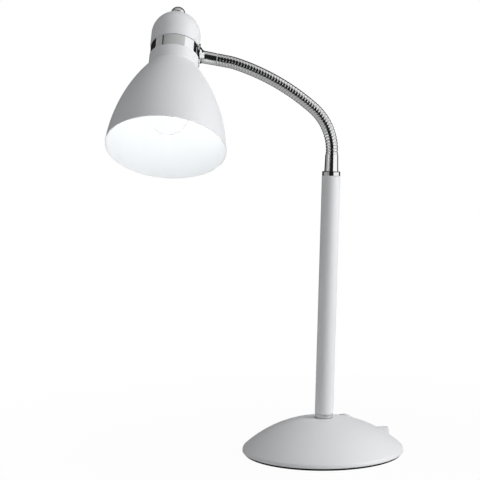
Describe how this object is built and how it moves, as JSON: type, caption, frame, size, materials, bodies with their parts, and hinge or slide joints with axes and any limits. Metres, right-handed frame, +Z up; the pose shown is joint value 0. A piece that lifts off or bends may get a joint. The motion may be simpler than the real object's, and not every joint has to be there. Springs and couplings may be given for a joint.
{
  "type": "gooseneck desk lamp",
  "caption": "Desk lamp with a weighted dome base, tube stem, ribbed flexible neck and a swivelling bell shade over a screw-in bulb.",
  "frame": {"origin": "middle of the base's underside, on the surface that the lamp stands on", "axes": "+Z up; the neck reaches towards -X from the stem; the shade's mouth is turned towards -Y; the cord inlet faces +X"},
  "size_m": [0.3222, 0.1975, 0.4781],
  "materials": {
    "white_paint": "satin white enamel",
    "white_plastic": "moulded white plastic",
    "chrome_trim": "bright chrome plate",
    "chrome_hose": "bright chrome plate",
    "black_pad": "matt black foam rubber",
    "cast_weight": "as cast",
    "zinc_steel": "zinc plated",
    "friction_washer": "natural nylon",
    "cable_sheath": "white flexible sheath",
    "brass": "bare brass",
    "cap_metal": "bare sheet",
    "black_glass": "black vitrite",
    "bulb_glass": "clear blown glass",
    "tungsten": "drawn wire"
  },
  "bodies": {
    "base": {"base_shell": "white_paint", "bottom_plate": "zinc_steel", "base_weight": "cast_weight", "base_pad": "black_pad", "base_screws": "zinc_steel", "cord_bush": "white_plastic", "terminal_block": "white_plastic", "terminal_screws": "zinc_steel", "switch_body": "white_plastic", "switch_bezel": "white_plastic", "stem_tube": "white_paint", "stem_foot_ring": "chrome_trim", "stem_top_ring": "chrome_trim", "stem_lower_bush": "zinc_steel", "stem_upper_bush": "zinc_steel", "stem_nipple": "zinc_steel", "stem_lock_washer": "zinc_steel", "stem_nut": "zinc_steel", "lower_ferrule": "chrome_trim", "stem_cable": "cable_sheath", "gooseneck_1": "chrome_hose"},
    "switch_button": {"switch_button": "white_plastic"},
    "neck_link_2": {"gooseneck_2": "chrome_hose"},
    "neck_link_3": {"gooseneck_3": "chrome_hose"},
    "neck_link_4": {"gooseneck_4": "chrome_hose"},
    "neck_link_5": {"gooseneck_5": "chrome_hose"},
    "neck_link_6": {"gooseneck_6": "chrome_hose"},
    "neck_link_7": {"gooseneck_7": "chrome_hose"},
    "neck_link_8": {"gooseneck_8": "chrome_hose", "neck_end_plug": "zinc_steel", "swivel_washer": "friction_washer", "swivel_clip": "zinc_steel"},
    "head": {"upper_ferrule": "chrome_trim", "ferrule_washer": "zinc_steel", "ferrule_nut": "zinc_steel", "head_band": "chrome_trim", "shade": "white_paint", "shade_cap": "white_paint", "finial": "chrome_trim", "finial_washer": "chrome_trim", "head_nipple": "zinc_steel", "nipple_nut": "zinc_steel", "holder_body": "white_plastic", "holder_screw_shell": "brass", "holder_contact": "brass", "holder_leads": "cable_sheath"},
    "bulb": {"bulb_tip": "brass", "bulb_insulator": "black_glass", "bulb_cap": "cap_metal", "bulb_glass": "bulb_glass", "bulb_mount": "bulb_glass", "bulb_wires": "tungsten", "bulb_filament": "tungsten"}
  },
  "joints": [
    {"name": "neck_bend_1", "type": "hinge", "parent": "base", "child": "neck_link_2", "pos_m": [0.0098, 0, 0.33252], "axis": [0, -1, 0], "range_deg": [-20, 15]},
    {"name": "neck_sway_2", "type": "hinge", "parent": "neck_link_2", "child": "neck_link_3", "pos_m": [0.00364, 0, 0.35427], "axis": [0.8904, 0, 0.4551], "range_deg": [-12, 12]},
    {"name": "neck_bend_3", "type": "hinge", "parent": "neck_link_3", "child": "neck_link_4", "pos_m": [-0.01038, 0, 0.372], "axis": [0, -1, 0], "range_deg": [-20, 15]},
    {"name": "neck_sway_4", "type": "hinge", "parent": "neck_link_4", "child": "neck_link_5", "pos_m": [-0.02841, 0, 0.38586], "axis": [0.5707, 0, 0.8212], "range_deg": [-12, 12]},
    {"name": "neck_bend_5", "type": "hinge", "parent": "neck_link_5", "child": "neck_link_6", "pos_m": [-0.04768, 0, 0.39793], "axis": [0, -1, 0], "range_deg": [-20, 15]},
    {"name": "neck_sway_6", "type": "hinge", "parent": "neck_link_6", "child": "neck_link_7", "pos_m": [-0.06803, 0, 0.4081], "axis": [0.4035, 0, 0.915], "range_deg": [-12, 12]},
    {"name": "neck_bend_7", "type": "hinge", "parent": "neck_link_7", "child": "neck_link_8", "pos_m": [-0.08925, 0, 0.41626], "axis": [0, -1, 0], "range_deg": [-20, 15]},
    {"name": "head_swivel", "type": "hinge", "parent": "neck_link_8", "child": "head", "pos_m": [-0.11468, 0, 0.42181], "axis": [-0.9862, 0, 0.1657], "range_deg": [-90, 30]},
    {"name": "bulb_unscrew", "type": "slide", "parent": "head", "child": "bulb", "axis": [-0.1442, -0.4924, -0.8583], "range_m": [0, 0.018]},
    {"name": "switch_press", "type": "slide", "parent": "base", "child": "switch_button", "axis": [0.2783, 0.3091, 0.9094], "range_m": [-0.0025, 0], "stiffness_N_per_m": 1200}
  ]
}
